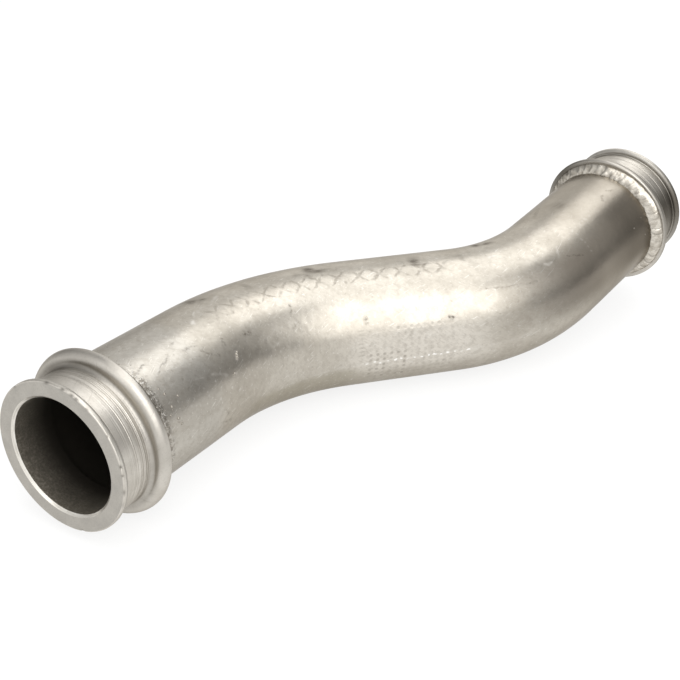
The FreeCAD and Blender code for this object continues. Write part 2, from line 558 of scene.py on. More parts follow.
def set_inputs(tree, pairs):
    """Sockets set to values, or linked from other sockets."""
    for socket, value in pairs:
        if isinstance(value, bpy.types.NodeSocket):
            tree.links.new(value, socket)
        else:
            socket.default_value = value


def add_node(tree, kind, inputs=None, **settings):
    """Shader node with its settings and inputs."""
    node = tree.nodes.new("ShaderNode" + kind)
    for setting, value in settings.items():
        setattr(node, setting, value)
    set_inputs(tree, [(node.inputs[key], value) for key, value in (inputs or {}).items()])
    return node


def calc(tree, operation, *values):
    """Output of a Math node."""
    return add_node(tree, "Math", dict(enumerate(values)), operation=operation).outputs[0]


def times(tree, first, second):
    """Product of two values."""
    return calc(tree, "MULTIPLY", first, second)


def vector_calc(tree, operation, inputs, output=0):
    """Output of a Vector Math node."""
    return add_node(tree, "VectorMath", inputs, operation=operation).outputs[output]


def spread(tree, value, low, high, to_low=0.0, to_high=1.0):
    """Value eased from one range to another."""
    inputs = {"Value": value, "From Min": low, "From Max": high, "To Min": to_low, "To Max": to_high}
    return add_node(tree, "MapRange", inputs, interpolation_type="SMOOTHSTEP").outputs[0]


def mixed(tree, factor, first, second):
    """Colour between two colours."""
    node = add_node(tree, "Mix", {"Factor": factor}, data_type="RGBA")
    set_inputs(tree, [(node.inputs[6], first), (node.inputs[7], second)])
    return node.outputs[2]


def coated(tree, colour, coats):
    """Colour under further coats, each with a mask, a strength and a colour."""
    for mask, strength, over in coats:
        colour = mixed(tree, times(tree, mask, strength), colour, over)
    return colour


def noise_at(tree, vector, scale, detail=2.0, roughness=0.6):
    """Noise between about 0.3 and 0.7 at places given by a vector."""
    inputs = {"Vector": vector, "Scale": scale, "Detail": detail, "Roughness": roughness}
    return add_node(tree, "TexNoise", inputs).outputs["Fac"]


def new_material(name):
    """Material with a plain Principled shader, and its tree and shader."""
    material = bpy.data.materials.new(name)
    material.use_nodes = True
    return material, material.node_tree, material.node_tree.nodes["Principled BSDF"]


def across_and_along(tree, place):
    """Millimetres round the tube from its top, and millimetres along it, of a surface place."""
    parts = add_node(tree, "SeparateXYZ", {0: place})
    return parts.outputs[0], parts.outputs[1]


def surface_place(tree):
    """Place on the surface, from the UV map."""
    return add_node(tree, "UVMap", uv_map=UV_NAME).outputs[0]


def stain_and_shade_value(tree):
    """Stains and painted shade that the mesh holds at each point."""
    return add_node(tree, "Attribute", attribute_name=STAIN_AND_SHADE_NAME).outputs["Fac"]


def stretched(tree, vector, across, along):
    """Surface place scaled apart round the tube and along it."""
    return vector_calc(tree, "MULTIPLY", {0: vector, 1: (across, along, 1.0)})


def turned_by(tree, vector, angle):
    """Surface place turned about the surface's normal."""
    inputs = {"Vector": vector, "Angle": math.radians(angle)}
    return add_node(tree, "VectorRotate", inputs, rotation_type="Z_AXIS").outputs[0]


def wandered(tree, place, scale, reach):
    """Surface place shifted a little, unevenly, so that straight marks come out uneven."""
    noise = add_node(tree, "TexNoise", {"Vector": place, "Scale": scale, "Detail": 1.0}).outputs["Color"]
    shift = vector_calc(tree, "SUBTRACT", {0: noise, 1: (0.5, 0.5, 0.5)})
    shift = vector_calc(tree, "SCALE", {0: shift, "Scale": reach})
    return vector_calc(tree, "ADD", {0: place, 1: shift})


def stroke(tree, place, start, end, width):
    """Mask of a thin stroke between two places on the surface."""
    away = (end[0] - start[0], end[1] - start[1], 0.0)
    square = away[0] ** 2 + away[1] ** 2
    pace = (away[0] / square, away[1] / square, 0.0)
    from_start = vector_calc(tree, "SUBTRACT", {0: place, 1: (*start, 0.0)})
    share = vector_calc(tree, "DOT_PRODUCT", {0: from_start, 1: pace}, "Value")
    held = add_node(tree, "Clamp", {"Value": share}).outputs[0]
    nearest = vector_calc(tree, "SCALE", {0: away, "Scale": held})
    gap = vector_calc(tree, "DISTANCE", {0: from_start, 1: nearest}, "Value")
    return spread(tree, gap, width * STROKE_REACH, 0.0)


def strokes(tree, place, marks):
    """Mask of many strokes, each with its own strength."""
    total = 0.0
    for start, end, width, strength in marks:
        mask = times(tree, stroke(tree, place, start[::-1], end[::-1], width), strength)
        total = calc(tree, "MAXIMUM", total, mask)
    return total


def inside(tree, value, low, high, edge):
    """Mask that is 1 between two limits and fades out over an edge beyond them."""
    rise = spread(tree, value, low - edge, low)
    return times(tree, rise, spread(tree, value, high + edge, high))


def zone(tree, across, along, limits):
    """Mask of one of the zones of the tube's finish."""
    limits_along, limits_across = limits
    return times(tree, inside(tree, along, *limits_along), inside(tree, across, *limits_across))


def cross_chain(tree, across, along):
    """Mask of the chain of crossed scuffs that the bending machine's die left along the top."""
    from_middle = calc(tree, "PINGPONG", calc(tree, "SUBTRACT", along, CROSS_START), CROSS_PITCH / 2)
    from_line = calc(tree, "ABSOLUTE", calc(tree, "SUBTRACT", across, CROSS_ROW))
    slanted = times(tree, from_middle, CROSS_SLOPE)
    gap = calc(tree, "ABSOLUTE", calc(tree, "SUBTRACT", from_line, slanted))
    mask = spread(tree, gap, CROSS_WIDTH, CROSS_CORE)
    mask = times(tree, mask, spread(tree, from_line, *CROSS_TIPS))
    return times(tree, mask, inside(tree, along, CROSS_START, CROSS_END, CROSS_END_FADE))


def dot_fields(tree, across, along, fields):
    """Mask of fields of dots, such as the dimples that a toothed clamp pressed into the middle run."""
    total = 0.0
    for first, last, pitch, radius, stretch, strength in fields:
        beside = calc(tree, "PINGPONG", calc(tree, "SUBTRACT", along, first[0]), pitch[0] / 2)
        above = calc(tree, "PINGPONG", calc(tree, "SUBTRACT", across, first[1]), pitch[1] / 2)
        offset = add_node(tree, "CombineXYZ", {0: calc(tree, "DIVIDE", beside, stretch), 1: above})
        gap = vector_calc(tree, "LENGTH", {0: offset.outputs[0]}, "Value")
        half_length = radius * stretch
        columns = inside(tree, along, first[0] - half_length, last[0] + half_length, DOT_EDGE)
        rows = inside(tree, across, first[1] - radius, last[1] + radius, DOT_EDGE)
        mask = spread(tree, gap, radius * DOT_RIM, radius * DOT_CORE, 0.0, strength)
        mask = times(tree, mask, times(tree, columns, rows))
        total = calc(tree, "MAXIMUM", total, mask)
    return total


def weighted(tree, *pairs):
    """Sum of values, each times its own weight."""
    total = 0.0
    for value, weight in pairs:
        total = calc(tree, "MULTIPLY_ADD", value, weight, total)
    return total


def finish_metal(tree, shader, colour, roughness):
    """Colour and roughness of bare metal, with the edge tint that all of it here shares."""
    tree.links.new(colour, shader.inputs["Base Color"])
    tree.links.new(roughness, shader.inputs["Roughness"])
    shader.inputs["Metallic"].default_value = 1.0
    shader.inputs["Specular Tint"].default_value = METAL_EDGE


def height_bump(tree, shader, height):
    """Relief from a height in millimetres."""
    bump = add_node(tree, "Bump", {"Height": height, "Distance": MM, "Strength": 1.0})
    tree.links.new(bump.outputs[0], shader.inputs["Normal"])


def tube_steel():
    """Satin drawn steel with the marks of bending, clamping and handling."""
    material, tree, shader = new_material("tube_steel")
    place = surface_place(tree)
    across, along = across_and_along(tree, place)
    bent_place = wandered(tree, place, 0.3, 2.9)
    bent_across, bent_along = across_and_along(tree, bent_place)

    # Grain of the metal
    patches = spread(tree, noise_at(tree, place, 0.045, 4.0, 0.62), 0.34, 0.66)
    mottle = noise_at(tree, place, 0.33, 3.0, 0.65)
    tone = spread(tree, noise_at(tree, place, 0.02, 2.0, 0.5), 0.35, 0.65)
    peel = noise_at(tree, place, 0.2, 2.0, 0.55)
    brushed = noise_at(tree, stretched(tree, turned_by(tree, place, 35.0), 1.5, 0.3), 1.0)
    drawn = noise_at(tree, stretched(tree, place, 1.6, 0.035), 1.0)
    worn = spread(tree, noise_at(tree, place, 0.16), 0.34, 0.56)
    specks = spread(tree, noise_at(tree, place, 0.62), 0.6, 0.74)
    pits = spread(tree, noise_at(tree, place, 0.5), 0.37, 0.27)
    hairs = noise_at(tree, stretched(tree, turned_by(tree, place, 66.0), 0.13, 1.7), 1.0, 2.0, 0.55)
    hairs = times(tree, spread(tree, hairs, 0.62, 0.72), worn)
    sooted = zone(tree, across, bent_along, SOOTED)
    crusted = spread(tree, noise_at(tree, place, 0.85), 0.56, 0.64)
    crust = times(tree, sooted, crusted)
    clouded = spread(tree, noise_at(tree, place, 0.55), 0.42, 0.58)
    smut = times(tree, sooted, clouded)

    # Marks of the tools and of handling
    crosses = cross_chain(tree, bent_across, bent_along)
    crosses = times(tree, crosses, spread(tree, worn, 0.0, 1.0, 0.2, 1.0))
    faded = spread(tree, noise_at(tree, place, 0.09, 1.0, 0.5), 0.38, 0.58, 0.35, 1.0)
    dimples = times(tree, dot_fields(tree, across, along, CLAMP_DOTS), faded)
    ragged = spread(tree, noise_at(tree, place, 0.8), 0.4, 0.6, 0.25, 1.0)
    dark = times(tree, strokes(tree, bent_place, DARK_STROKES), ragged)
    highlit_ridges = dot_fields(tree, bent_across, bent_along, HIGHLIT_RIDGE_DASHES)
    highlit_ridges = times(tree, highlit_ridges, spread(tree, worn, 0.0, 1.0, 0.3, 1.0))
    rubbed = dot_fields(tree, bent_across, bent_along, RUBBED_DOTS)
    rubbed_and_highlit = calc(tree, "MAXIMUM", strokes(tree, bent_place, LIGHT_STROKES), rubbed)
    rubbed_and_highlit = times(tree, rubbed_and_highlit, worn)
    streaks = noise_at(tree, stretched(tree, turned_by(tree, place, 20.0), 0.7, 0.16), 1.0, 3.0, 0.65)
    # Outside the tube this holds only its listed stains
    stain_and_shade = times(tree, stain_and_shade_value(tree), spread(tree, streaks, 0.3, 0.62, 0.45, 1.0))

    colour = mixed(tree, patches, (0.466, 0.43, 0.371, 1), (0.551, 0.514, 0.451, 1))
    colour = coated(tree, colour, [
        (tone, 0.4, (0.5, 0.472, 0.418, 1)),
        # Burnished band with painted light
        (zone(tree, across, along, BURNISHED_AND_LIT), 0.75, (0.714, 0.672, 0.604, 1)),
        (spread(tree, bent_along, *CLEAN_END), 0.65, (0.515, 0.493, 0.45, 1)),
        # Painted shade on the underside of the first bend and on a band of the front run
        (zone(tree, across, along, SHADED_UNDERSIDE), 0.5, (0.3, 0.27, 0.2, 1)),
        (zone(tree, across, along, SHADED_FRONT_BAND), 0.4, (0.33, 0.3, 0.255, 1)),
        (spread(tree, brushed, 0.5, 0.72), 0.3, (0.34, 0.3, 0.25, 1)),
        (spread(tree, mottle, 0.42, 0.68), 0.32, (0.336, 0.303, 0.257, 1)),
        (pits, 0.22, (0.2, 0.172, 0.136, 1)),
        (specks, 0.5, RUBBED_BRIGHT),
        (hairs, 0.65, RUBBED_BRIGHT),
        (smut, 0.7, (0.12, 0.103, 0.082, 1)),
        (crust, 0.8, RUBBED_BRIGHT),
        # Heat tint and painted shade on the rear run
        (zone(tree, across, along, HEAT_TINT_AND_SHADE), 0.92, (0.17, 0.149, 0.123, 1)),
        (spread(tree, along, *REAR_TINT_AND_SHADE), 0.62, (0.32, 0.287, 0.24, 1)),
        (zone(tree, across, along, SCORCH_AND_SHADE), 0.75, (0.13, 0.114, 0.092, 1)),
        (weighted(tree, (crosses, 0.27), (dimples, 0.36)), 1.0, (0.14, 0.118, 0.092, 1)),
        (dark, 1.0, (0.075, 0.062, 0.048, 1)),
        (stain_and_shade, 0.9, (0.07, 0.056, 0.043, 1)),
        (rubbed_and_highlit, 0.6, (0.8, 0.78, 0.74, 1)),
        # Painted highlights on the ridges
        (highlit_ridges, 1.0, (0.97, 0.95, 0.91, 1)),
    ])
    satin = spread(tree, patches, 0.0, 1.0, 0.36, 0.28)
    rough = weighted(tree, (satin, 1.0), (crosses, 0.12), (dimples, 0.08),
                     (dark, 0.25), (stain_and_shade, 0.25), (rubbed_and_highlit, 0.2))
    finish_metal(tree, shader, colour, rough)
    height = weighted(tree, (peel, 0.09), (brushed, 0.007), (drawn, 0.006), (specks, 0.02), (pits, -0.02),
                      (crosses, -0.03), (dimples, -0.08), (dark, -0.04), (highlit_ridges, 0.03), (crust, 0.12))
    height_bump(tree, shader, height)
    return material


def turned_steel():
    """Machined steel of the fittings, with fine lines round it."""
    material, tree, shader = new_material("turned_steel")
    place = surface_place(tree)
    patches = spread(tree, noise_at(tree, place, 0.09, 4.0, 0.6), 0.32, 0.68)
    lines = noise_at(tree, stretched(tree, place, 0.03, 2.6), 1.0, 3.0, 0.65)
    grain = noise_at(tree, place, 1.1, 3.0, 0.7)
    scratches = noise_at(tree, stretched(tree, turned_by(tree, place, 62.0), 0.1, 1.8), 1.0, 2.0, 0.5)
    scratches = spread(tree, scratches, 0.6, 0.74)
    colour = mixed(tree, patches, (0.562, 0.531, 0.478, 1), (0.646, 0.613, 0.557, 1))
    colour = coated(tree, colour, [
        (spread(tree, grain, 0.5, 0.75), 0.35, (0.38, 0.355, 0.315, 1)),
        (scratches, 0.3, (0.34, 0.315, 0.275, 1)),
        # Painted shade from the mesh: in the corners, in the nicks, under the burr and on the shaded sides
        (stain_and_shade_value(tree), 1.0, (0.065, 0.057, 0.045, 1)),
    ])
    finish_metal(tree, shader, colour, spread(tree, patches, 0.0, 1.0, 0.43, 0.34))
    height_bump(tree, shader, weighted(tree, (lines, 0.03), (grain, 0.02), (scratches, -0.012)))
    return material


def face_steel():
    """Matt faced-off steel of the end faces."""
    material, tree, shader = new_material("face_steel")
    place = surface_place(tree)
    patches = spread(tree, noise_at(tree, place, 0.13, 4.0, 0.65), 0.3, 0.7)
    grain = noise_at(tree, place, 1.5, 3.0, 0.7)
    lines = noise_at(tree, stretched(tree, place, 0.02, 4.0), 1.0, 3.0, 0.6)
    colour = mixed(tree, patches, (0.44, 0.42, 0.384, 1), (0.5, 0.477, 0.435, 1))
    colour = coated(tree, colour, [
        (spread(tree, grain, 0.5, 0.8), 0.4, (0.32, 0.302, 0.272, 1)),
        # Painted shade from the mesh: in the nicks, under the burr and in the lip's corner
        (stain_and_shade_value(tree), 1.0, (0.1, 0.088, 0.07, 1)),
    ])
    finish_metal(tree, shader, colour, spread(tree, grain, 0.3, 0.7, 0.44, 0.56))
    height_bump(tree, shader, weighted(tree, (lines, 0.016), (grain, 0.02)))
    return material


def edge_steel():
    """Bright fresh-cut steel of the mouth's chamfer."""
    material, tree, shader = new_material("edge_steel")
    grain = noise_at(tree, stretched(tree, surface_place(tree), 0.12, 1.2), 1.0, 3.0, 0.6)
    colour = mixed(tree, spread(tree, grain, 0.35, 0.7), (0.8, 0.77, 0.71, 1), (0.58, 0.55, 0.49, 1))
    finish_metal(tree, shader, colour, spread(tree, grain, 0.3, 0.7, 0.3, 0.4))
    return material


def dark_scale():
    """Grainy scale inside the bore and the tube, darkened by painted shade that grows with depth."""
    material, tree, shader = new_material("dark_scale")
    place = surface_place(tree)
    speckle = noise_at(tree, place, 0.9, 4.0, 0.7)
    patches = noise_at(tree, place, 0.14, 3.0, 0.6)
    colour = mixed(tree, spread(tree, speckle, 0.36, 0.7), (0.24, 0.213, 0.17, 1), (0.44, 0.4, 0.33, 1))
    colour = coated(tree, colour, [
        (spread(tree, patches, 0.4, 0.65), 0.4, (0.16, 0.14, 0.112, 1)),
        # Painted shade that deepens inside the bore and the tube
        (stain_and_shade_value(tree), 1.0, (0.045, 0.039, 0.031, 1)),
    ])
    tree.links.new(colour, shader.inputs["Base Color"])
    tree.links.new(spread(tree, speckle, 0.35, 0.65, 0.36, 0.5), shader.inputs["Roughness"])
    shader.inputs["Metallic"].default_value = 0.7
    height_bump(tree, shader, weighted(tree, (speckle, 0.06)))
    return material


def weld_steel():
    """Bright as-welded steel, duller in patches."""
    material, tree, shader = new_material("weld_steel")
    place = surface_place(tree)
    patches = spread(tree, noise_at(tree, place, 0.3, 4.0, 0.65), 0.35, 0.65)
    grain = noise_at(tree, place, 1.6, 3.0, 0.7)
    colour = mixed(tree, patches, (0.45, 0.412, 0.353, 1), (0.7, 0.658, 0.585, 1))
    # Painted shade in the crevices and on the shaded side, and dark lines at the bead's edges
    colour = coated(tree, colour, [(stain_and_shade_value(tree), 0.8, (0.07, 0.06, 0.047, 1))])
    finish_metal(tree, shader, colour, spread(tree, patches, 0.0, 1.0, 0.37, 0.26))
    height_bump(tree, shader, weighted(tree, (grain, 0.05)))
    return material


def drop_steel():
    """Dull grey steel of the drops."""
    material, tree, shader = new_material("drop_steel")
    place = add_node(tree, "TexCoord").outputs["Object"]
    grain = noise_at(tree, place, 900.0)
    colour = mixed(tree, grain, (0.3, 0.275, 0.235, 1), (0.5, 0.47, 0.42, 1))
    finish_metal(tree, shader, colour, spread(tree, grain, 0.3, 0.7, 0.5, 0.6))
    return material


def waviness(across, along, wavelengths, seed):
    """Slow uneven rise and fall between 0 and 1, alike on both sides of the tube's seam."""
    draw = random.Random(seed)
    total = np.zeros(np.broadcast(across, along).shape)
    for wavelength in wavelengths:
        turns = round(draw.uniform(-1, 1) * 2 * math.pi * TUBE_RADIUS / wavelength)
        pace = 2 * math.pi / wavelength * draw.uniform(0.6, 1.2)
        total = total + np.sin(across * turns + along * pace + draw.uniform(0, 2 * math.pi))
    return 0.5 + 0.5 * total / len(wavelengths)


def rounded_section(corners):
    """Points round a closed section from corners with rounding radii, with the finish of each point.

    A corner is a place along the axis, a radius and a rounding, then the finish of the side after it
    and the spacing of the points on that side.
    """
    places = [np.array(corner[:2]) for corner in corners]
    stretches = []
    for index, (_, _, rounding, _, _) in enumerate(corners):
        corner = places[index]
        before = unit(places[index - 1] - corner)
        after = unit(places[(index + 1) % len(corners)] - corner)
        half = math.acos(np.clip(np.dot(before, after), -1, 1)) / 2
        if rounding == 0:
            stretches.append(corner[None])
            continue
        middle = corner + unit(before + after) * rounding / math.sin(half)
        first = unit(corner + before * rounding / math.tan(half) - middle)
        last = unit(corner + after * rounding / math.tan(half) - middle)
        swing = math.pi - 2 * half
        steps = np.linspace(0, 1, max(6, math.ceil(rounding * swing / ROUNDING_SPACING)))[:, None]
        blend = np.sin((1 - steps) * swing) * first + np.sin(steps * swing) * last
        stretches.append(middle + blend / math.sin(swing) * rounding)
    points = []
    finishes = []
    for index, (_, _, _, finish, spacing) in enumerate(corners):
        stretch = stretches[index]
        following = stretches[(index + 1) % len(corners)][0]
        count = max(1, math.ceil(np.linalg.norm(following - stretch[-1]) / spacing))
        side = stretch[-1] + (following - stretch[-1]) * np.arange(count)[:, None] / count
        points.append(np.concatenate([stretch[:-1], side]))
        finishes += [finish] * len(points[-1])
    return np.concatenate(points), np.array(finishes)


def bump_at(offset, half_size):
    """Bell curve that is 1 at no offset."""
    return np.exp(-(offset / half_size) ** 2)


def bump_round(angle, middle, half_width):
    """Bell curve round the pipe, with its middle and half width in degrees."""
    return bump_at(angle - math.radians(middle), math.radians(half_width))


def turning_lines(along, angle, seed):
    """Depth of the tool's lines in the groove, each one fading in and out on its way round."""
    draw = random.Random(seed)
    depth = np.zeros(along.shape)
    for index in range(LINE_COUNT):
        place = LINES_FROM + (LINES_TO - LINES_FROM) * draw.random() ** LINE_CROWDING
        fade = np.clip(LINE_FADE * waviness(angle, 0.0, LINE_WAVES, seed * 100 + index), 0.0, 1.0)
        depth += draw.uniform(*LINE_DEPTH) * fade * bump_at(along - place, draw.uniform(*LINE_HALF_WIDTH))
    return depth


def fitting_section():
    """Section of a fitting, and the finishes of its points as places in its list of materials."""
    turned, dark, faced, bright = 0, 1, 2, 3
    return rounded_section([
        (0.0, BORE_RADIUS + MOUTH_CHAMFER, 0.0, faced, 0.6),
        (0.0, LIP_RADIUS, LIP_FRONT_ROUNDING, turned, 0.25),
        (LIP_WIDTH, LIP_RADIUS, LIP_BACK_ROUNDING, faced, 0.3),
        (LIP_WIDTH, TUBE_RADIUS, GROOVE_ROUNDING, turned, 0.13),
        (COLLAR_FRONT, TUBE_RADIUS, COLLAR_ROOT_ROUNDING, turned, 0.4),
        (COLLAR_FRONT, COLLAR_RADIUS, COLLAR_FRONT_ROUNDING, turned, 0.6),
        (COLLAR_BACK, COLLAR_RADIUS, COLLAR_BACK_ROUNDING, turned, 0.8),
        (COLLAR_BACK, SOCKET_RADIUS, 0.0, turned, 2.0),
        (TUBE_STOP, SOCKET_RADIUS, 0.0, dark, 2.0),
        (TUBE_STOP, BORE_RADIUS, 0.0, dark, 2.0),
        (MOUTH_CHAMFER, BORE_RADIUS, 0.0, bright, 0.5),
    ])


def fitting_painted_shade(end, along, radius, angle, zones):
    """Painted shade of a fitting: in the corners, on its shaded sides and its collar, and deeper inside
    the bore.
    """
    above = radius - TUBE_RADIUS
    before = COLLAR_FRONT - along
    # Painted shade in the lip's and collar's corners and on the collar's flank, more on one side
    lip_corner = bump_at(np.hypot(along - LIP_WIDTH, above), LIP_CORNER_SIZE)
    from_corner = np.hypot(before - COLLAR_CORNER_OFFSET, above - COLLAR_CORNER_OFFSET)
    collar_corner = bump_at(from_corner, COLLAR_CORNER_SIZE)
    flank = bump_at(above - FLANK_HEIGHT, FLANK_SIZE) * bump_at(before, FLANK_DEPTH)
    shade = CORNER_SHADE_BASE + (1 - CORNER_SHADE_BASE) * bump_round(angle, *SHADED_CORNER_SIDE)
    by_collar = COLLAR_CORNER_SHADE * collar_corner + FLANK_SHADE * flank
    corners = LIP_CORNER_SHADE * lip_corner + shade * by_collar
    stain_and_shade = np.where(zones["outside"], corners, 0.0)
    # Painted shade inside the bore, darker with depth
    stain_and_shade = np.maximum(stain_and_shade, np.where(zones["bore"], np.clip(along / BORE_SHADE_DEPTH, 0.0, 1.0), 0.0))
    # Painted shade over the collar, less round one side
    collar_shade = COLLAR_SHADE * (1 - bump_round(angle, *COLLAR_UNSHADED_SIDE))
    stain_and_shade = np.maximum(stain_and_shade, np.where(zones["collar"], collar_shade, 0.0))
    # Painted shade on one side of each zone
    for name, strength, middle, half_width in SHADED_PATCHES[end]:
        side_shade = strength * bump_round(angle, middle, half_width)
        stain_and_shade = np.maximum(stain_and_shade, np.where(zones[name], side_shade, 0.0))
    return stain_and_shade


def end_fitting(end, materials):
    """Turned lip, groove and collar, with the tool's lines and a nicked lip."""
    section, finishes = fitting_section()
    angle = ring_angles(FITTING_COLUMNS)[None, :]
    along = np.repeat(section[:, :1], FITTING_COLUMNS, axis=1)
    radius = np.repeat(section[:, 1:], FITTING_COLUMNS, axis=1)
    outside = radius >= TUBE_RADIUS - CLOSE
    on_collar = outside & (along > COLLAR_FRONT)
    on_lip = outside & (along < LIP_WIDTH + LIP_FOOT)
    in_groove = outside & (along > LIP_WIDTH) & (along < COLLAR_FRONT)
    zones = {
        "outside": outside,
        "lip": on_lip,
        "groove": in_groove,
        "collar": on_collar,
        "rim": on_collar & (radius > COLLAR_RADIUS - RIM_DEPTH),
        "bore": radius < BORE_RADIUS + CLOSE,
    }
    seed = FITTING_SEED[end]
    radius -= np.where(in_groove, turning_lines(along, angle, seed), 0.0)
    stain_and_shade = fitting_painted_shade(end, along, radius, angle, zones)
    lip_edge = np.where(on_lip, bump_at(np.hypot(along, radius - LIP_RADIUS), NICK_REACH), 0.0)
    for middle, depth, half_round in LIP_NICKS:
        turn = (angle - math.radians(middle + NICK_TURN[end]) + math.pi) % (2 * math.pi) - math.pi
        nick = bump_at(turn * LIP_RADIUS, half_round) * lip_edge
        radius -= NICK_SHARE * depth * nick
        along += NICK_SHARE * max(depth, 0.0) * nick
        # Painted shade in each nick
        stain_and_shade = np.maximum(stain_and_shade, NICK_SHADE * depth * nick)
    burr = waviness(angle, 0.0, BURR_WAVES, seed) * bump_at(along - BURR_ALONG, BURR_WIDTH)
    burr_reach = bump_round(angle, BURR_MIDDLE + NICK_TURN[end], BURR_HALF_WIDTH)
    radius += np.where(on_lip, BURR_HEIGHT * (burr - 0.5) * burr_reach, 0.0)
    # Painted shadow along the burr at the lip's edge
    burr_shadow = burr_reach * np.clip(1.5 * burr - 0.6, 0.0, 0.5)
    stain_and_shade = np.maximum(stain_and_shade, np.where(on_lip, burr_shadow, 0.0))
    worn = waviness(angle, along * 0.5, WEAR_WAVES, seed + 10)
    radius -= np.where(on_collar, COLLAR_WEAR * (0.5 + worn), FITTING_INSET)
    steps = np.linalg.norm(np.diff(section, axis=0), axis=1)
    lengths = np.concatenate([[0], np.cumsum(steps)])
    name = end + "_fitting_skin"
    piece = ring_mesh(name, from_end(end, along), radius, lengths, finishes, materials, stain_and_shade)
    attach(piece, "root")
    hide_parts(end + "_end_fitting")


def tube(materials):
    """Bent tube, smooth outside and scaled inside."""
    first = TUBE_STOP
    last = ROUTE_LENGTH - TUBE_STOP
    outer = np.linspace(first, last, TUBE_OUTER_RINGS)
    inner = np.linspace(last, first, TUBE_INNER_RINGS)
    distance = np.concatenate([outer, inner])
    angle = ring_angles(TUBE_COLUMNS)
    radius = np.full((len(distance), TUBE_COLUMNS), TUBE_RADIUS)
    wave = waviness(angle[None, :], outer[:, None], TUBE_WAVES, TUBE_SEED)
    radius[:TUBE_OUTER_RINGS] -= TUBE_INSET + TUBE_WAVE_HEIGHT * wave
    radius[TUBE_OUTER_RINGS:] -= TUBE_WALL
    finishes = np.array([0] * TUBE_OUTER_RINGS + [1] * TUBE_INNER_RINGS)
    rows = np.repeat(distance[:, None], TUBE_COLUMNS, axis=1)
    stain_and_shade = np.zeros(radius.shape)
    for (stain_along, stain_row), half_length, half_width, strength in STAINS:
        lengthways = bump_at(rows - stain_along, half_length)
        crossways = bump_at(angle * TUBE_RADIUS - stain_row, half_width)
        stain_and_shade = np.maximum(stain_and_shade, strength * lengthways * crossways)
    # Deepest painted shade over the whole inside of the tube
    stain_and_shade[TUBE_OUTER_RINGS:] = 1.0
    piece = ring_mesh("bent_tube_skin", rows, radius, distance, finishes, materials, stain_and_shade)
    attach(piece, "root")
    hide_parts("bent_tube")


def weld_bead(end, materials):
    """Bead behind a collar, laid in uneven scales with a scalloped toe on the tube."""
    draw = random.Random(SCALE_SEED[end])
    edges = [0.0]
    while edges[-1] < 2 * math.pi:
        edges.append(edges[-1] + draw.uniform(*SCALE_PITCH) / (TUBE_RADIUS + WELD_ON_COLLAR / 2))
    edges = np.array(edges) * 2 * math.pi / edges[-1]
    sizes = np.array([draw.uniform(*SCALE_SIZE) for _ in edges[1:]])
    lobes = np.array([draw.uniform(*LOBE_SIZE) for _ in edges[1:]])

    # Scale at each point, and how far its crest has risen there
    angle = ring_angles(WELD_COLUMNS)[None, :]
    step = np.linspace(0, 1, WELD_RINGS)[:, None]
    lag = SCALE_LAG * (2 * step - 1) ** 2 + SCALE_SLANT * (step - 0.5)
    turn = (angle + lag / TUBE_RADIUS) % (2 * math.pi)
    index = np.clip(np.searchsorted(edges, turn, side="right") - 1, 0, len(sizes) - 1)
    share = (turn - edges[index]) / (edges[index + 1] - edges[index])
    crest = np.clip(share / SCALE_RISE, 0, 1)
    crest = crest * crest * (3 - 2 * crest) * (1 - share) ** SCALE_FALL
    uneven = waviness(angle, step * 0, BEAD_WAVES, BEAD_SEED[end])
    strength = sizes[index] * (SCALE_BASE + SCALE_WAVE * uneven)
    lobe = lobes[index[-1]] * np.sin(math.pi * share[-1])

    # Bead from the collar to its toe, then lifted square to its face
    toe = WELD_ON_TUBE - TOE_TRIM + TOE_WAVE * uneven + LOBE_REACH * lobe[None, :]
    wave = waviness(angle, step * 0, SHOULDER_WAVES, SHOULDER_SEED)
    fuller = FULLER_HEIGHT * bump_round(angle, *FULLER_SIDE)
    shoulder = WELD_ON_COLLAR - SHOULDER_TRIM + SHOULDER_WAVE * wave + fuller
    edge = 1 - (2 * step - 1) ** 4
    lumps = waviness(angle, step * WELD_ON_TUBE, LUMP_WAVES, LUMP_SEED[end])
    crown = WELD_CROWN * 4 * step * (1 - step) * (CROWN_BASE + CROWN_WAVE * uneven)
    lift = crown + edge * (SCALE_HEIGHT * strength * crest + LUMP_HEIGHT * (lumps - 0.5))
    slope = math.hypot(WELD_ON_TUBE, WELD_ON_COLLAR)
    along = COLLAR_BACK + toe * step + lift * WELD_ON_COLLAR / slope
    radius = TUBE_RADIUS + shoulder * (1 - step) + lift * WELD_ON_TUBE / slope - WELD_SINK * step
    along = np.concatenate([along, np.full((1, WELD_COLUMNS), COLLAR_BACK)])
    radius = np.concatenate([radius, np.full((1, WELD_COLUMNS), TUBE_RADIUS - WELD_SINK)])

    # Painted shade in the crevices, dark edges, and painted shade on the shaded side
    crevice_shade = CREVICE_SHADE * (1 - crest) ** 4 * np.minimum(strength, 1)
    shoulder_line = SHOULDER_LINE_DIRT * bump_at(step, SHOULDER_LINE_WIDTH)
    toe_line = TOE_LINE_DIRT * bump_at(1 - step, TOE_LINE_WIDTH)
    stain_and_shade = np.zeros(radius.shape)
    stain_and_shade[:WELD_RINGS] = np.maximum(crevice_shade, np.maximum(shoulder_line, toe_line))
    shaded = (SHADED_SIDE_DARKNESS - SHADED_CREST * crest) * bump_round(angle, *SHADED_SIDE)
    stain_and_shade[:WELD_RINGS] += (1 - stain_and_shade[:WELD_RINGS]) * shaded
    lengths = np.linspace(0, slope, WELD_RINGS + 1)
    finishes = np.zeros(WELD_RINGS + 1)
    name = end + "_weld_skin"
    piece = ring_mesh(name, from_end(end, along), radius, lengths, finishes, materials, stain_and_shade)
    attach(piece, "root")
    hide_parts(end + "_weld_bead")


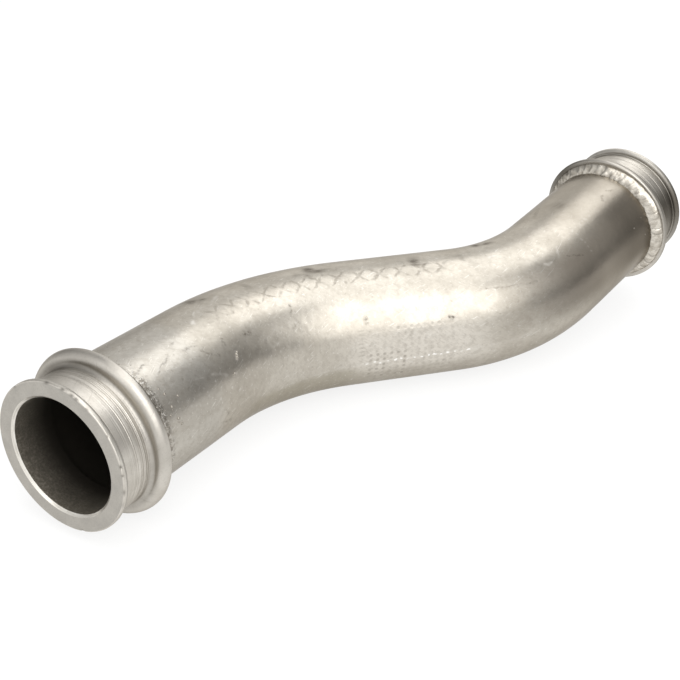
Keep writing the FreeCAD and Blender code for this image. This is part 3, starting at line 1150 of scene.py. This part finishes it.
def scattered_drops(end):
    """Small drops near a weld, thinning out away from it on the upper side."""
    draw = random.Random(DROP_SEED[end])
    drops = []
    for _ in range(DROP_COUNT[end]):
        away = COLLAR_BACK + WELD_ON_TUBE + draw.expovariate(1 / DROP_SPREAD)
        row = draw.uniform(*DROP_ANGLES) * TUBE_RADIUS
        drops.append(((from_end(end, away), row), draw.uniform(*DROP_SIZE)))
    return drops


def weld_drops(end, material):
    """Drops of weld metal stuck to the tube, each a low dome."""
    flat = Matrix.Diagonal((1.0, 1.0, DROP_FLATNESS, 1.0))
    shape = bmesh.new()
    for (along, row), size in PLACED_DROPS[end] + scattered_drops(end):
        distance = np.array([along])
        height = np.array([TUBE_RADIUS - TUBE_INSET])
        place = surface_points(distance, height, np.array([row / TUBE_RADIUS]))[0]
        centre = along_route(distance)[0][0] * MM
        lean = Vector(place - centre).to_track_quat("Z", "Y").to_matrix().to_4x4()
        bmesh.ops.create_icosphere(shape, subdivisions=DROP_SUBDIVISIONS, radius=size * MM,
                                   matrix=Matrix.Translation(place) @ lean @ flat)
    mesh = bpy.data.meshes.new(end + "_weld_drops")
    shape.to_mesh(mesh)
    shape.free()
    mesh.materials.append(material)
    mesh.shade_smooth()
    piece = add_object(end + "_weld_drops", mesh)
    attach(piece, "root")


def facing(place, aim):
    """Matrix that stands at a place and points its -Z axis at an aim."""
    look = Vector(aim) - Vector(place)
    return Matrix.Translation(place) @ look.to_track_quat("-Z", "Y").to_matrix().to_4x4()


def turned_about_z(angle):
    """Matrix of a turn in degrees about Z."""
    return Matrix.Rotation(math.radians(angle), 4, "Z")


def camera():
    """Camera at the place and with the lens of the photograph."""
    data = bpy.data.cameras.new("camera")
    data.lens = CAMERA_LENS
    data.sensor_width = CAMERA_SENSOR
    data.clip_start = CAMERA_NEAR
    holder = add_object("camera", data)
    holder.matrix_world = facing(CAMERA_PLACE, CAMERA_AIM) @ turned_about_z(CAMERA_ROLL)
    bpy.context.scene.camera = holder


def floor():
    """Pale floor, white to the camera and to reflections, that keeps a soft shadow."""
    mesh = bpy.data.meshes.new("floor")
    corners = [(-1, -1), (1, -1), (1, 1), (-1, 1)]
    mesh.from_pydata([(x * FLOOR_REACH, y * FLOOR_REACH, 0) for x, y in corners], [], [(0, 1, 2, 3)])
    material, tree, _ = new_material("floor")
    tree.nodes.clear()
    path = add_node(tree, "LightPath")
    seen = calc(tree, "MAXIMUM", path.outputs["Is Camera Ray"], path.outputs["Is Glossy Ray"])
    seen = calc(tree, "MAXIMUM", seen, path.outputs["Is Transmission Ray"])
    plain = add_node(tree, "BsdfDiffuse", {"Color": FLOOR_COLOUR})
    shadow = add_node(tree, "BsdfDiffuse", {"Color": FLOOR_SHADED})
    glow = add_node(tree, "Emission", {"Color": WHITE, "Strength": FLOOR_GLOW})
    shown = add_node(tree, "AddShader", {0: shadow.outputs[0], 1: glow.outputs[0]})
    both = add_node(tree, "MixShader", {0: seen, 1: plain.outputs[0], 2: shown.outputs[0]})
    add_node(tree, "OutputMaterial", {"Surface": both.outputs[0]})
    mesh.materials.append(material)
    add_object("floor", mesh)


def direction(azimuth, elevation):
    """Direction at an azimuth from X and an elevation, in degrees."""
    level = math.cos(math.radians(elevation))
    turn = math.radians(azimuth)
    return Vector((level * math.cos(turn), level * math.sin(turn), math.sin(math.radians(elevation))))


def softbox(name, stand, size, radiance):
    """Area lamp that shines along the -Z axis of its stand, with the brightness it shows in a mirror."""
    width, height = size
    data = bpy.data.lights.new(name, "AREA")
    data.shape = "RECTANGLE"
    data.size = width
    data.size_y = height
    data.energy = radiance * math.pi * width * height
    add_object(name, data).matrix_world = stand


def lights():
    """Overhead strip, a large soft key at the right of the camera, and an uneven fill all round."""
    lit = Vector(LIT_POINT)
    key_stand = facing(lit + direction(*KEY_DIRECTION) * KEY_DISTANCE, lit)
    softbox("key", key_stand, KEY_SIZE, KEY_RADIANCE)
    overhead_stand = Matrix.Translation(OVERHEAD_PLACE) @ turned_about_z(OVERHEAD_TURN)
    softbox("overhead", overhead_stand, OVERHEAD_SIZE, OVERHEAD_RADIANCE)

    world = bpy.data.worlds.new("fill")
    bpy.context.scene.world = world
    world.use_nodes = True
    tree = world.node_tree
    look = add_node(tree, "TexCoord").outputs["Generated"]
    total = FILL_BASE
    for azimuth, elevation, low, gain in FILL_LOBES:
        towards = tuple(direction(azimuth, elevation))
        side = vector_calc(tree, "DOT_PRODUCT", {0: look, 1: towards}, "Value")
        total = calc(tree, "ADD", spread(tree, side, low, 1.0, 0.0, gain), total)
    background = tree.nodes["Background"]
    background.inputs["Color"].default_value = WHITE
    tree.links.new(total, background.inputs["Strength"])


bpy.context.scene.view_settings.view_transform = "Standard"
scale = dark_scale()
fitting_materials = [turned_steel(), scale, face_steel(), edge_steel()]
bead_materials = [weld_steel()]
drop_material = drop_steel()
tube([tube_steel(), scale])
for end in ("front", "rear"):
    end_fitting(end, fitting_materials)
    weld_bead(end, bead_materials)
for end in ("front", "rear"):
    weld_drops(end, drop_material)
camera()
floor()
lights()
